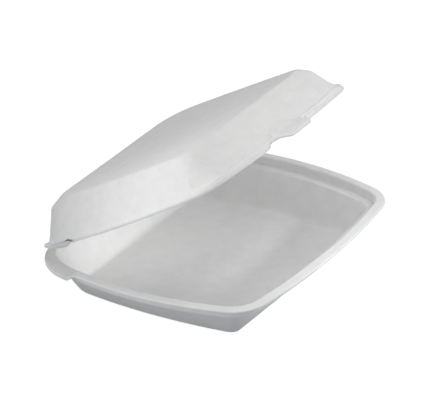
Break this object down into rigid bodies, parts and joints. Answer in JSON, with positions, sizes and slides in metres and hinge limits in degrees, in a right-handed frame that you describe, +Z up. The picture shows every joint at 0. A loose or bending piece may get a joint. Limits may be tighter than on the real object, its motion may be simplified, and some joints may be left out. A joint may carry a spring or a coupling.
{
  "type": "foam clamshell container",
  "caption": "Clamshell food box of thermoformed white foam: a shallow bowed tray with a raised lip, and a domed lid on a living hinge with a thumb tab at its front.",
  "frame": {"origin": "centre of the tray's resting face", "axes": "+X along the hinge crease, +Y from the front tab to the hinge, +Z up"},
  "size_m": [0.245, 0.1942, 0.1318],
  "materials": {
    "foam": "matte, faintly pebbled expanded polystyrene sheet"
  },
  "bodies": {
    "tray": {"tray": "foam"},
    "lid": {"lid": "foam"}
  },
  "joints": [
    {"name": "lid_hinge", "type": "hinge", "parent": "tray", "child": "lid", "pos_m": [0, 0.09275, 0.0263], "axis": [-1, 0, 0], "range_deg": [-30, 138]}
  ]
}
